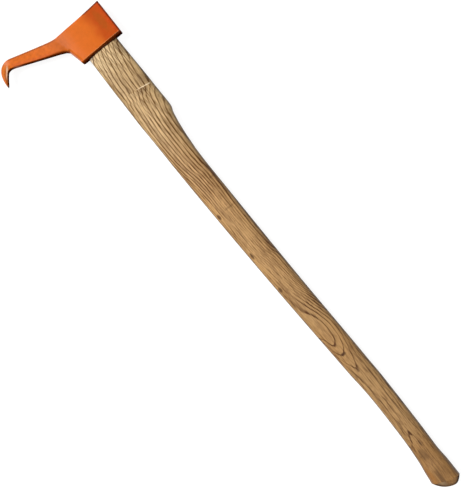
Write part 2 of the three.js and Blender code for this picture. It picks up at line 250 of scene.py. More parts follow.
# meshes
def addObject(name, mesh, material):
    mesh.materials.clear()
    mesh.materials.append(material)
    return putInScene(bpy.data.objects.new(name, mesh))


def meshFrom(name, points, faces):
    mesh = bpy.data.meshes.new(name)
    mesh.from_pydata([point * mm for point in points], [], faces)
    mesh.validate()
    return mesh


def tubeFaces(ringCount, sides):  # quads between the rings and one flat face on each end
    faces = []
    for ring in range(ringCount - 1):
        for side in range(sides):
            after = (side + 1) % sides
            here, there = ring * sides, (ring + 1) * sides
            faces.append((here + side, here + after, there + after, there + side))
    last = (ringCount - 1) * sides
    faces.append(tuple(reversed(range(sides))))
    faces.append(tuple(range(last, last + sides)))
    return faces


def tubeMesh(name, rings):
    points = [point for ring in rings for point in ring]
    return meshFrom(name, points, tubeFaces(len(rings), len(rings[0])))


def settle(made):  # the modifiers' result becomes the object's own mesh
    graph = bpy.context.evaluated_depsgraph_get()
    mesh = bpy.data.meshes.new_from_object(made.evaluated_get(graph))
    made.modifiers.clear()
    made.data = mesh
    return made


def cutWith(made, cutters):
    for cutter in cutters:
        modifier = made.modifiers.new("cut", "BOOLEAN")
        modifier.operation = "DIFFERENCE"
        modifier.solver = "EXACT"
        modifier.object = cutter
    settle(made)
    for cutter in cutters:
        bpy.data.objects.remove(cutter)


def smoothShade(mesh, sharpAngle):
    mesh.shade_smooth()
    mesh.set_sharp_from_angle(angle=math.radians(sharpAngle))


def readTable(rows, place):  # a smooth reading of [place, value] rows, with no overshoot
    slopes = [(b[1] - a[1]) / (b[0] - a[0]) for a, b in zip(rows, rows[1:])]
    tangents = [slopes[0]]
    for before, after in zip(slopes, slopes[1:]):
        tangents.append(2 * before * after / (before + after) if before * after > 0 else 0)
    tangents.append(slopes[-1])
    inside = min(max(place, rows[0][0]), rows[-1][0])
    i = next((k for k, row in enumerate(rows[1:]) if row[0] >= inside), len(rows) - 2)
    span = rows[i + 1][0] - rows[i][0]
    t = (inside - rows[i][0]) / span
    rise = rows[i + 1][1] - rows[i][1] - span * tangents[i]
    turn = span * (tangents[i] + tangents[i + 1]) - 2 * (rows[i + 1][1] - rows[i][1])
    return rows[i][1] + t * span * tangents[i] + t * t * (rise - turn) + t**3 * turn


def ease(low, high, value):
    t = min(max((value - low) / (high - low), 0), 1)
    return t * t * (3 - 2 * t)


def lerp(a, b, t):
    return a + (b - a) * t


def oval(along, width, thickness, shift, squareness, sides):
    ring = []
    for side in range(sides):
        turn = side / sides * 2 * math.pi
        across, up = math.cos(turn), math.sin(turn)
        y = math.copysign(abs(across) ** (2 / squareness), across) * width / 2
        z = math.copysign(abs(up) ** (2 / squareness), up) * thickness / 2
        ring.append(Vector((along, shift + y, midHeight + z)))
    return ring


# head
head = {
    "height": 56.4,  # at the poll, along the handle
    "topDip": 3.9,
    "flatDip": 0.83,  # share of the dip that is reached where the flat cheek ends
    "footSlope": 1.5,
    "cheekFlatReach": 8,
    "noseReach": 38.5,
    "noseRadius": 5,
    "noseCorner": 2,
    "neckReach": 43.2,
    "neckRise": 22,
    "bendRise": 74.4,
    "armThickness": 16,
    "armFlareReach": 88,
    "edgeRound": 1.2,
    "neckRound": 5,  # of the arm's lower edge where it leaves the socket
    "pollRound": 1.1,
    "partingLand": 1.2,
    "tipThickness": 0.7,
    "waviness": 0.16,  # what the hammer left on the arm, and how long and wide a blow is
    "blow": (9, 6),
    "eyeLength": 54.4,
    "eyeWidth": 20.6,
    "eyeFlare": 1.4,
    "eyeSquareness": 2.6,
    "eyeRim": 1.4,  # rounding where the eye breaks out
    "sharpAngle": 38,
    # shares of the hook's reach and of the bend's rise: root, start and end of the straight arm,
    # outermost point of the bend, tip; then the curves' handles in the bend and the beak
    "outerArm": [(0.36, 0.723), (0.43, 0.762), (0.805, 0.986), (0.948, 0.909), (1, 0.537)],
    "innerArm": [(0.318, 0.377), (0.38, 0.435), (0.787, 0.768), (0.902, 0.8), (0.996, 0.537)],
    "outerHandles": [(0.86, 1.016), (0.92, 0.984), (0.98, 0.839), (0.999, 0.709)],
    "innerHandles": [(0.832, 0.806), (0.866, 0.836), (0.928, 0.757), (0.967, 0.635)],
    # plan view: [share of the way, share of the change]
    "flare": [(0, 0), (0.2, 0.06), (0.34, 0.2), (0.46, 0.44), (0.58, 0.7), (0.74, 0.89), (1, 1)],
    "beakTaper": [
        (0.88, 0), (0.95, 0.08), (0.97, 0.18), (0.985, 0.36), (0.993, 0.6), (0.998, 1), (1, 1),
    ],
    "facets": [(0, 0.44), (0.56, 1), (1, 0.8)],  # outer edge, ridge and inner edge
    "facetStart": 0.8,
    "facetFull": 0.93,
    "sections": [8, 16, 9, 20, 16, 10, 22, 26, 30],  # along each pair of curves
    "acrossSteps": (22, 20),  # outer edge to ridge, ridge to inner edge
}
hookReach = -headLow.y / mm
pollReach = headHigh.y / mm
headThickness = (headHigh.z - headLow.z) / mm


def bezier(points, t):
    while len(points) > 1:
        points = [a.lerp(b, t) for a, b in zip(points, points[1:])]
    return points[0]


def hookPoint(shares):
    return Vector((shares[0] * hookReach, shares[1] * head["bendRise"]))


def armCurves(arm, handles):
    _, start, end, bend, tip = map(hookPoint, arm)
    first, second, third, fourth = map(hookPoint, handles)
    return [[start, end], [end, first, second, bend], [bend, third, fourth, tip]]


def outerEdge():
    topRise = head["height"] - head["topDip"]
    poll = Vector((-pollReach, head["height"]))
    cheekDip = Vector((head["cheekFlatReach"], head["height"] - head["topDip"] * head["flatDip"]))
    lift = (head["topDip"] - head["footSlope"]) / 2
    pollHandle = Vector(((head["cheekFlatReach"] - pollReach) / 2, cheekDip.y + lift))
    overNose = Vector((head["noseReach"] - head["noseCorner"], topRise))
    pastNose = Vector((head["noseReach"], topRise))
    overNeck = Vector((head["neckReach"] + head["noseCorner"], topRise))
    root, start, end, _, _ = map(hookPoint, head["outerArm"])
    rootHandle = Vector(((root.x + overNeck.x) / 2, topRise))
    startHandle = start + (end - start).normalized() * (root.x - start.x) / 2
    return [
        [poll, pollHandle, cheekDip],
        [cheekDip, overNose],
        [overNose, pastNose],
        [pastNose, overNeck],
        [overNeck, rootHandle, root],
        [root, startHandle, start],
        *armCurves(head["outerArm"], head["outerHandles"]),
    ]


def footRise(reach):
    return -head["footSlope"] * (reach + pollReach) / (head["noseReach"] + pollReach)


def innerEdge():
    def onFoot(reach):
        return Vector((reach, footRise(reach)))

    nose = Vector((head["noseReach"], head["noseCorner"]))
    neck = Vector((head["neckReach"], head["neckRise"]))
    root, start, *_ = map(hookPoint, head["innerArm"])
    fillet = Vector((neck.x, neck.y + (root.x - neck.x) * head["bendRise"] / hookReach))
    return [
        [onFoot(-pollReach), onFoot(head["cheekFlatReach"])],
        [onFoot(head["cheekFlatReach"]), onFoot(nose.x - head["noseCorner"])],
        [onFoot(nose.x - head["noseCorner"]), onFoot(nose.x), nose],
        [nose, neck],
        [neck, fillet, root],
        [root, start],
        *armCurves(head["innerArm"], head["innerHandles"]),
    ]


def halfThicknessAt(reach):
    flareSpan = head["armFlareReach"] - head["cheekFlatReach"]
    flared = readTable(head["flare"], (reach - head["cheekFlatReach"]) / flareSpan)
    plain = lerp(headThickness, head["armThickness"], flared)
    return lerp(plain, head["tipThickness"], readTable(head["beakTaper"], reach / hookReach)) / 2


def facetFactor(across):
    (_, outer), (ridge, full), (_, inner) = head["facets"]
    if across < ridge:
        return lerp(outer, full, across / ridge)
    return lerp(full, inner, (across - ridge) / (1 - ridge))


def roundedShare(distance, radius):
    left = 1 - min(distance / radius, 1)
    return math.sqrt(1 - left * left)


def toSegment(point, start, end):
    way = end - start
    t = min(max((point - start).dot(way) / way.length_squared, 0), 1)
    return (point - start - way * t).length


def groundShare(reach):  # how far the grinding of the beak's facets has set in
    return ease(head["facetStart"], head["facetFull"], reach / hookReach)


def headHalf(point, across, length, reach):
    ground = groundShare(reach)
    full = halfThicknessAt(reach) * lerp(1, facetFactor(across), ground)
    noseStart = Vector((head["noseReach"], head["noseCorner"]))
    neckTop = Vector((head["neckReach"], head["neckRise"]))
    nosed = full * roundedShare(toSegment(point, noseStart, neckTop), head["noseRadius"])
    pastNeck = ease(head["neckReach"], head["armFlareReach"], reach)
    atNeck = ease(head["noseReach"], head["neckReach"], reach) * (1 - pastNeck)
    lowerRound = lerp(head["edgeRound"], head["neckRound"], atNeck)
    radius = lowerRound if across > 0.5 else head["edgeRound"]
    toEdge = min(across, 1 - across) * length
    eased = nosed - radius * (1 - ground) * (1 - roundedShare(toEdge, radius))
    onArm = pastNeck * (1 - ground)
    along, beside = head["blow"]
    blows = noise.noise(Vector((point.x / along, point.y / beside, 3)))
    wave = blows * head["waviness"] * onArm
    return max(eased - abs(wave), min(head["partingLand"] / 2, full))


def acrossSteps():
    ridge = head["facets"][1][0]
    outer, inner = head["acrossSteps"]
    shares = [ridge * (1 - math.cos(step / outer * math.pi / 2)) for step in range(outer)]
    shares += [lerp(ridge, 1, math.sin(step / inner * math.pi / 2)) for step in range(inner + 1)]
    return shares


def headRing(top, foot):
    length = (top - foot).length
    reach = (top.x + foot.x) / 2
    upper = []
    for across in acrossSteps():
        point = top.lerp(foot, across)
        half = headHalf(point, across, length, reach)
        upper.append(Vector((footPlace - point.y, -point.x, midHeight + half)))
    lower = [Vector((point.x, point.y, headThickness - point.z)) for point in reversed(upper)]
    return list(reversed(upper + lower))


def pollRings(first):  # rounds the edge of the striking face
    middle = sum(first, Vector()) / len(first)
    size = Vector([max(abs(point[axis] - middle[axis]) for point in first) for axis in range(3)])
    rings = []
    steps = 5
    for step in range(steps):
        turn = step / steps * math.pi / 2
        inset = head["pollRound"] * (1 - math.sin(turn))
        back = head["pollRound"] * (1 - math.cos(turn))
        ring = []
        for point in first:
            away = point - middle
            x = middle.x + away.x * (1 - inset / size.x)
            z = middle.z + away.z * (1 - inset / size.z)
            ring.append(Vector((x, point.y - back, z)))
        rings.append(ring)
    for point in first:
        point.y -= head["pollRound"]
    return rings


def headRings():
    rings = []
    for outer, inner, count in zip(outerEdge(), innerEdge(), head["sections"]):
        first = 0 if not rings else 1
        for step in range(first, count + 1):
            rings.append(headRing(bezier(outer, step / count), bezier(inner, step / count)))
    return pollRings(rings[0]) + rings


def topRiseAt(reach):
    poll, handle, dip = outerEdge()[0]
    if reach > dip.x:
        overNose = outerEdge()[1][1]
        return lerp(dip.y, overNose.y, (reach - dip.x) / (overNose.x - dip.x))
    t = (reach - poll.x) / (dip.x - poll.x)
    return bezier([poll, handle, dip], t).y


def eyeOval(rise, widening, sides):
    grow = 2 * head["eyeFlare"] * rise / head["height"] + 2 * widening
    length, width = head["eyeLength"] + grow, head["eyeWidth"] + grow
    return oval(0, length, width, 0, head["eyeSquareness"], sides)


def eyeCutter():
    sides, steps, overrun, rim = 120, 6, 6, head["eyeRim"]
    levels = [(-overrun, rim)]  # depth into the head, how far the oval is widened there
    for step in range(steps + 1):
        depth = rim * (1 - math.cos(step / steps * math.pi / 2))
        levels.append((depth, rim - math.sqrt(max(rim**2 - (rim - depth) ** 2, 0))))
    rings = []
    for depth, widening in levels:
        ring = eyeOval(head["height"], widening, sides)
        rings.append([Vector((footPlace - topRiseAt(-p.y) + depth, p.y, p.z)) for p in ring])
    for depth, widening in reversed(levels):
        ring = eyeOval(0, widening, sides)
        rings.append([Vector((footPlace - footRise(-p.y) - depth, p.y, p.z)) for p in ring])
    return addObject("eyeCutter", tubeMesh("eyeCutter", rings), enamel)


# enamel
enamelLook = {
    "bright": shade(217, 105, 24),
    # deep: the poll half's colour, painted shade and partly deeper paint
    "deep": shade(190, 75, 4),
    "olive": shade(166, 82, 6),
    "reddish": shade(200, 60, 14),
    # pale: the painted highlight on the edge along the top of the foot
    "pale": shade(244, 166, 104),
    "ridgeHighlight": shade(255, 206, 168),
    "brown": shade(184, 104, 40),
    "shaded": shade(190, 84, 44),
    "shadedOutline": shade(140, 74, 34),
    "steel": shade(150, 146, 142),
    # the painted shade on the foot and under the arm, where the paint is also matt
    "mattShaded": shade(172, 72, 12),
    # dark: the deepest painted shade, low on those walls
    "dark": shade(62, 14, 2),
    # edge: the painted shade on the head's edges
    "edge": shade(96, 34, 8),
    "pollShadeAndPaint": (-3, 17),  # y over which the poll half darkens: painted shade, partly deeper paint
    "mattShadeTo": -100,  # y as far as which only the foot and the arm's underside are matt and painted in shade
    "roughness": 0.34,
    "gloss": 0.14,
    "relief": 0.8,
    "wornTip": 4.5,  # length of the bare tip
    # lines that the paint follows, from and to: the ridge on the beak's inner side, with its
    # painted highlight, and, with painted shade, the arm's edge towards the handle, the one away
    # from it and the cheek's edge at the top
    "ridge": ((-38.5, -130.5), (-20.5, -147)),
    "ridgeWidth": 1.5,
    "underArm": ((-4, -57.5), (-29, -119)),
    "overArm": ((-28.5, -65), (-45.2, -121.5)),
    "overCheek": ((-28.2, 38.6), (-25.2, 0)),
    # y where each of them sets in, is full, leaves off and is gone
    "shadedArm": (-44, -62, -116, -130),
    "shadedOutlineArm": (-42, -60, -120, -134),
    "brownBeak": (-124, -134),  # sets in and is full
    "olivePatch": (-2, 24, 17, 6),  # x, y, half its length and width
}


def enamelColour(sheet, look, x, y, facing, broad, mottle):
    # painted shade over the poll half, partly deeper paint
    pollShadeAndPaint = sheet.fade(y + broad * 26 + mottle * 5, *look["pollShadeAndPaint"])
    olive = sheet.fade(awayFrom(x, y, look["olivePatch"]) + mottle * 2, 1.5, 0.2)
    olive = olive + pollShadeAndPaint * sheet.fade(broad, 0.05, 0.2) * 0.4
    pollEdge = sheet.fade(y + mottle * 10, pollReach - 9, pollReach - 1)
    _, fromUnder = alongLine(x, y, *look["underArm"])
    shaded = sheet.fade(fromUnder + mottle * 3, 7, 0.5) * sheet.span(y, look["shadedArm"])
    # painted shade along the arm's edge away from the handle
    _, fromOver = alongLine(x, y, *look["overArm"])
    shadedOutline = sheet.fade(fromOver, -3.4, -1.4) * sheet.span(y, look["shadedOutlineArm"])
    # painted highlight along the ridge on the beak's inner side
    along, beside = alongLine(x, y, *look["ridge"])
    width = look["ridgeWidth"]
    ridgeHighlight = sheet.fade(sheet.math("ABSOLUTE", beside + mottle * 2), width + 0.5, width - 0.7)
    ridgeHighlight = ridgeHighlight * sheet.span(along, (-0.08, 0.25, 0.5, 1))
    # painted highlight on the rounded edge between the cheek and the foot
    rim = sheet.span(facing[0], (0.04, 0.2, 0.45, 0.75)) * sheet.fade(facing[1], -0.35, -0.15)
    return sheet.paint(sheet.colours(pollShadeAndPaint, look["bright"], look["deep"]), look, [
        (sheet.clamp(olive) * 0.5, "olive"),
        (pollEdge * 0.6, "reddish"),
        (shaded * 0.5, "shaded"),
        (shadedOutline * 0.6, "shadedOutline"),
        (sheet.fade(y, *look["brownBeak"]) * 0.5, "brown"),
        (ridgeHighlight * 0.9, "ridgeHighlight"),
        (rim * sheet.fade(y, -60, -40) * 0.5, "pale"),
    ])


def enamelMattShade(sheet, look, y, z, facing):  # where the paint is matt and painted in shade, and the painted shade's colour there
    inward = facing[0] + facing[1] * sheet.fade(y, look["mattShadeTo"], look["mattShadeTo"] - 20)
    mattShaded = sheet.fade(inward, 0.35, 0.85) * sheet.fade(z, headThickness + 0.5, headThickness - 5)
    # the painted shade darkens towards the bottom
    lower = sheet.fade(z, headThickness - 5, headThickness - 22)
    return mattShaded, sheet.colours(lower, look["mattShaded"], look["dark"])


def enamelEdgeShade(sheet, look, x, y, z, facing):  # where an edge is painted dark: painted shade along the poll's top edge, the cheek's top edge and the rounded edges that turn towards the head's top
    pollRim = sheet.fade(y, pollReach - 3.4, pollReach - 2) * sheet.fade(facing[2], 0.1, 0.3)
    _, fromTop = alongLine(x, y, *look["overCheek"])
    topRim = sheet.fade(fromTop, -3.2, -1.8) * sheet.fade(y, 4, 12)
    turnedUp = sheet.fade(facing[0], -0.08, -0.5)
    turnedUp = turnedUp * sheet.fade(z, headThickness - 5, headThickness - 1)
    return sheet.clamp(pollRim * 0.85 + topRim * 0.7 + turnedUp * 0.45)


def makeEnamel(look):
    material, sheet, surface = newMaterial("enamel", look["bright"])
    place = sheet.millimetres()
    x, y, z = sheet.parts(place)
    facing = sheet.facing()
    broad = sheet.cloud(sheet.scaled(place, 1 / 22))
    mottle = sheet.cloud(sheet.scaled(place, 1 / 5), 3)
    peel = sheet.cloud(sheet.scaled(place, 1 / 0.9), 1)
    colour = enamelColour(sheet, look, x, y, facing, broad, mottle)
    colour = sheet.colours(enamelEdgeShade(sheet, look, x, y, z, facing) * 0.94, colour, look["edge"])
    mattShaded, shadedPaint = enamelMattShade(sheet, look, y, z, facing)
    colour = sheet.colours(mattShaded * 0.94, colour, shadedPaint)
    onArm = sheet.fade(y, -45, -70)
    # painted shade on the neck's flare, which faces the light
    flared = sheet.fade(facing[1], -0.03, -0.3) * sheet.fade(y, -75, -60)
    flared = flared * sheet.fade(x, 12, -5)
    tone = 1 + mottle * (0.2 + onArm * 0.3) + broad * (0.14 + onArm * 0.2) - flared * 0.22
    colour = sheet.colours(1.0, colour, sheet.point(tone, tone, tone), "MULTIPLY")
    tip = hookPoint(head["outerArm"][-1])
    tipPlace = (footPlace - tip.y, -tip.x, midHeight)
    toTip = sheet.vector("DISTANCE", place, tipPlace).output(1)
    worn = sheet.fade(toTip + mottle * 3, look["wornTip"] + 0.6, look["wornTip"] - 1.5)
    colour = sheet.colours(worn, colour, look["steel"])
    height = peel * 0.02 + mottle * 0.09 + broad * 0.12 - worn * 0.08
    sheet.plug(surface, {
        "Base Color": colour,
        "Metallic": worn * 0.9,
        "Roughness": look["roughness"] + mottle * 0.12 + worn * 0.1 + mattShaded * 0.5,
        "Specular IOR Level": look["gloss"],
        "Normal": sheet.bump(height, look["relief"]),
    })
    mattWhere(sheet, surface, mattShaded, colour)
    return material


enamel = makeEnamel(enamelLook)
forgedHead = addObject("forged_head", tubeMesh("forged_head", headRings()), enamel)
cutWith(forgedHead, [eyeCutter()])
smoothShade(forgedHead.data, head["sharpAngle"])
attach(forgedHead, "root")
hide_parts("head")
print("head forged:", len(forgedHead.data.polygons), "faces")

# handle
handle = {
    "tenonTop": 54.3,  # above the foot
    "tongueLength": 85,
    "tongueWidth": 56,
    "tongueThickness": 25.2,
    "tongueLean": 8,
    "stepLength": 2.2,
    "swellThickness": 29.6,
    "swellEnd": 129.5,
    "swellWidth": 56.8,
    "swellEndThickness": 26.6,
    "waistPlace": 215,
    "waistWidth": 44.2,
    "waistThickness": 26,
    "waistShift": -5.1,
    "gripPlace": 700,
    "gripWidth": 34.8,
    "gripThickness": 24.4,
    "gripShift": 8.1,
    "knobWidth": 43,
    "knobThickness": 32,
    "knobShift": 3.9,
    "knobSlant": 13.9,
    "knobDome": 13.7,
    "domeFullness": 2.4,
    "domePeak": 0.2,  # share of the knob's width from its middle
    "endRoom": 1,  # how far the rounded end stays inside the solid's
    "slantLateness": 8,
    "clearance": 0.3,  # to the eye
    "tongueSquareness": 3.2,
    "bodySquareness": 2.4,
    "squarenessEase": 12,  # below the foot, from the eye's squareness to the tongue's
    "weld": 0.02,
    "sharpAngle": 50,
    # [share of the way, share of the change]
    "swellFall": [(0, 0), (0.27, 0.46), (0.64, 0.82), (1, 1)],
    "bowWidth": [(0, 0), (0.19, 0.15), (0.5, 0.43), (0.82, 0.71), (1, 1)],
    "bowShift": [(0, 0), (0.19, 0.1), (0.5, 0.375), (0.82, 0.805), (1, 1)],
    "knobFlare": [(0, 0), (0.36, 0.02), (0.68, 0.22), (0.82, 0.67), (0.92, 1), (1, 1)],
    "knobShiftWay": [(0, 0), (0.36, 0.12), (0.68, 0.56), (0.82, 0.73), (0.92, 0.93), (1, 1)],
    "evenly": [(0, 0), (1, 1)],
    "sides": 112,
    "rings": 420,
    "capShare": 0.03,  # share of the rings for the flat end, and where the dome's begin
    "domeFrom": 0.93,
}


def domeReach():
    slant, width, power = (handle[name] for name in ("knobSlant", "knobWidth", "domeFullness"))
    lift = handle["knobDome"] * width / math.hypot(width, slant)
    backSlope = slant * (0.5 - handle["domePeak"])
    furthest = (backSlope / (lift * power)) ** (1 / (power - 1))
    return slant * handle["domePeak"] + backSlope * furthest + lift * (1 - furthest**power)


topPlace = -handle["tenonTop"]
rimPlace = handleHigh.x / mm - footPlace - domeReach() - handle["endRoom"]


def profileRows(tongue, swell, swellEnd, waist, grip, knob, fall, bow, flare):
    rows = [(topPlace, tongue[0]), (0, tongue[1]), (handle["tongueLength"], tongue[2])]
    rows += [(handle["tongueLength"] + handle["stepLength"], swell), (handle["swellEnd"], swellEnd)]
    spans = [
        (handle["swellEnd"], handle["waistPlace"], swellEnd, waist, fall),
        (handle["waistPlace"], handle["gripPlace"], waist, grip, bow),
        (handle["gripPlace"], rimPlace, grip, knob, flare),
    ]
    for start, end, before, after, table in spans:
        steps = 6
        for step in range(1, steps + 1):
            way = step / steps
            rows.append((lerp(start, end, way), lerp(before, after, readTable(table, way))))
    return rows


def asShares(rows, greatest):  # for a curve that runs from 0 to 1 both ways
    length = rimPlace - topPlace
    return [((place - topPlace) / length, value / greatest) for place, value in rows]


def widthRows():
    foot = head["eyeLength"] - 2 * handle["clearance"]
    top = foot + 2 * head["eyeFlare"] * handle["tenonTop"] / head["height"]
    tongue = (top, foot, handle["tongueWidth"])
    names = "tongueWidth swellWidth waistWidth gripWidth knobWidth swellFall bowWidth knobFlare"
    return profileRows(tongue, *(handle[name] for name in names.split()))


def thicknessRows():
    names = "swellThickness swellEndThickness waistThickness gripThickness knobThickness"
    names += " evenly evenly knobFlare"
    return profileRows([handle["swellThickness"]] * 3, *(handle[name] for name in names.split()))


def shiftRows():
    names = "waistShift gripShift knobShift swellFall bowShift knobShiftWay"
    rows = profileRows([0] * 3, 0, 0, *(handle[name] for name in names.split()))
    return [(place, value + handle["gripShift"]) for place, value in rows]  # no shift is the middle


def handleInputs(material):
    lengths = {
        "topPlace": footPlace + topPlace,
        "footPlace": footPlace,
        "rimPlace": footPlace + rimPlace,
        "midHeight": midHeight,
        "tenonThickness": head["eyeWidth"] - 2 * handle["clearance"],
    }
    own = "swellWidth knobThickness gripShift tongueThickness tongueLength stepLength swellEnd"
    own += " knobWidth knobSlant knobDome"
    lengths.update({name: handle[name] for name in own.split()})
    shares = {
        "tenonFlare": 2 * head["eyeFlare"] / head["height"],
        "tongueSlant": handle["tongueLean"] / handle["tongueWidth"],
    }
    own = "tongueSquareness bodySquareness domePeak domeFullness"
    shares.update({name: handle[name] for name in own.split()})
    inputs = {name: ("NodeSocketFloat", value * mm) for name, value in lengths.items()}
    inputs.update({name: ("NodeSocketFloat", value) for name, value in shares.items()})
    inputs.update({name: ("NodeSocketInt", handle[name]) for name in ("sides", "rings")})
    inputs["finish"] = ("NodeSocketMaterial", material)
    return inputs


def handleTree(inputs):
    tree = bpy.data.node_groups.new("handleShape", "GeometryNodeTree")
    tree.interface.new_socket("Mesh", in_out="OUTPUT", socket_type="NodeSocketGeometry")
    identifiers = {}
    for name, (kind, _) in inputs.items():
        socket = tree.interface.new_socket(name, in_out="INPUT", socket_type=kind)
        identifiers[name] = socket.identifier
    sheet = NodeSheet(tree)
    source = sheet.add("NodeGroupInput")
    size = {name: source.output(name) for name in inputs}

    counts = {"Vertices X": size["rings"], "Vertices Y": size["sides"] + 1}
    grid = sheet.add("GeometryNodeMeshGrid", None, {"Size X": 1, "Size Y": 1, **counts})
    along, around, _ = sheet.parts(sheet.add("GeometryNodeInputPosition"))
    along = along + 0.5
    capShare, domeFrom = handle["capShare"], handle["domeFrom"]
    cap = sheet.clamp(along / capShare)
    shaft = sheet.clamp((along - capShare) / (domeFrom - capShare))
    dome = sheet.clamp((along - domeFrom) / (1 - domeFrom)) * (math.pi / 2)
    stepShare = (handle["tongueLength"] - topPlace) / (rimPlace - topPlace)
    spread = [(0, 0), (0.2, stepShare - 0.02), (0.36, stepShare + 0.02), (0.84, 0.88), (1, 1)]
    way = sheet.curve(spread, shaft)  # rings stand closer at the step and at the knob
    place = size["topPlace"] + (size["rimPlace"] - size["topPlace"]) * way
    fromFoot = place - size["footPlace"]

    turn = (around + 0.5) * (2 * math.pi)
    widths = asShares(widthRows(), handle["swellWidth"])
    thicknesses = asShares(thicknessRows(), handle["knobThickness"])
    shifts = asShares(shiftRows(), 2 * handle["gripShift"])
    width = sheet.curve(widths, way) * size["swellWidth"]
    body = sheet.curve(thicknesses, way) * size["knobThickness"]
    shift = (sheet.curve(shifts, way) * 2 - 1) * size["gripShift"]
    drawnIn = sheet.clamp(fromFoot / size["tongueLength"])
    flare = sheet.math("MAXIMUM", fromFoot * -1, 0) * size["tenonFlare"]
    tenon = size["tenonThickness"]
    tongue = tenon + (size["tongueThickness"] - tenon) * drawnIn + flare
    stepped = sheet.fade(fromFoot, size["tongueLength"], size["tongueLength"] + size["stepLength"])
    thickness = tongue + (body - tongue) * stepped
    square = size["tongueSquareness"]
    square = square + (size["bodySquareness"] - square) * stepped
    inEye = sheet.fade(fromFoot, handle["squarenessEase"] * mm, 0.0)
    square = square + (head["eyeSquareness"] - square) * inEye
    swellLength = size["swellEnd"] - size["tongueLength"]
    leaving = sheet.clamp((size["swellEnd"] - fromFoot) / swellLength)
    flareWay = (fromFoot * (1 / mm) - handle["gripPlace"]) / (rimPlace - handle["gripPlace"])
    knobLean = sheet.clamp(flareWay) ** handle["slantLateness"]
    knobLean = knobLean * (size["knobSlant"] / size["knobWidth"])
    lean = size["tongueSlant"] * drawnIn * leaving + knobLean

    def bulge(value):
        return sheet.math("SIGN", value) * sheet.math("ABSOLUTE", value) ** (2 / square)

    side = bulge(sheet.math("COSINE", turn)) * width * 0.5
    rise = bulge(sheet.math("SINE", turn)) * thickness * 0.5
    ring = sheet.point(place + lean * side, shift + side, size["midHeight"] + rise)
    middle = sheet.point(place, shift, size["midHeight"])
    capped = sheet.vector("ADD", middle, sheet.scaled(sheet.vector("SUBTRACT", ring, middle), cap))
    toPeak = sheet.scaled(sheet.point(size["knobSlant"], size["knobWidth"], 0), size["domePeak"])
    peakFoot = sheet.vector("ADD", middle, toPeak)
    outward = sheet.vector("NORMALIZE", sheet.point(size["knobWidth"], size["knobSlant"] * -1, 0))
    left = sheet.math("COSINE", dome)
    lift = sheet.scaled(outward, size["knobDome"] * (1 - left ** size["domeFullness"]))
    drawn = sheet.scaled(sheet.vector("SUBTRACT", capped, peakFoot), left)
    onDome = sheet.vector("ADD", sheet.vector("ADD", peakFoot, drawn), lift)
    past = sheet.math("GREATER_THAN", dome, 0.0)
    ends = {0: past, 4: capped, 5: onDome}
    position = sheet.add("ShaderNodeMix", {"data_type": "VECTOR"}, ends, output=1)
    made = grid
    for kind, values in (
        ("SetPosition", {"Position": position}),
        ("MergeByDistance", {"Distance": handle["weld"] * mm}),
        ("RealizeInstances", {}),
        ("SetMaterial", {"Material": size["finish"]}),
    ):
        made = sheet.add("GeometryNode" + kind, None, {"Geometry": made, **values})
    tree.links.new(made.socket, tree.nodes.new("NodeGroupOutput").inputs[0])
    return tree, identifiers


def growHandle(material):
    inputs = handleInputs(material)
    tree, identifiers = handleTree(inputs)
    made = bpy.data.objects.new("ash_handle", bpy.data.meshes.new("ash_handle"))
    modifier = made.modifiers.new("shape", "NODES")
    modifier.node_group = tree
    for name, (_, value) in inputs.items():
        modifier[identifiers[name]] = value
    return settle(putInScene(made))


# wedges
wedges = {
    "wood": {"thickness": 6.8, "edge": 1.4, "depth": 40, "width": 54},
    "steel": {"thickness": 3.8, "edge": 1.2, "depth": 26, "width": 15.5},
    "spacing": 25,
    "overrun": 6,
    "weld": 0.01,
    "bevel": 0.25,
    "bevelAngle": 25,
    "sharpAngle": 40,
}


def taperCutter(name, wedge, room, middle, lyingFlat):  # room is left on both sides of its width
    top, thin = (wedge[end] / 2 + handle["clearance"] for end in ("thickness", "edge"))
    side = wedge["width"] / 2 + room
    start = footPlace + topPlace
    finish = start + wedge["depth"] + handle["clearance"]
    rings = []
    for x, half in ((start - wedges["overrun"], top), (start, top), (finish, thin)):
        across = [(-side, -half), (side, -half), (side, half), (-side, half)]
        if not lyingFlat:
            across = [(half, -side), (half, side), (-half, side), (-half, -side)]
        rings.append([Vector((x, middle + a, midHeight + b)) for a, b in across])
    return addObject(name, tubeMesh(name, rings), enamel)


def handleCutters():
    cutters = [taperCutter("kerf", wedges["wood"], wedges["overrun"], 0, True)]
    for middle in (wedges["spacing"] / 2, -wedges["spacing"] / 2):
        pocket = taperCutter("pocket", wedges["steel"], handle["clearance"], middle, False)
        cutters.append(pocket)
    return cutters


def dressWedge(node, material):
    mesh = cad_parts[node].data.copy()
    made = addObject("driven_" + node, mesh, material)
    weld = made.modifiers.new("weld", "WELD")
    weld.merge_threshold = wedges["weld"] * mm
    bevel = made.modifiers.new("edges", "BEVEL")
    bevel.width = wedges["bevel"] * mm
    bevel.segments = 3
    bevel.angle_limit = math.radians(wedges["bevelAngle"])
    settle(made)
    smoothShade(made.data, wedges["sharpAngle"])
    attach(made, "root")
    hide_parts(node)


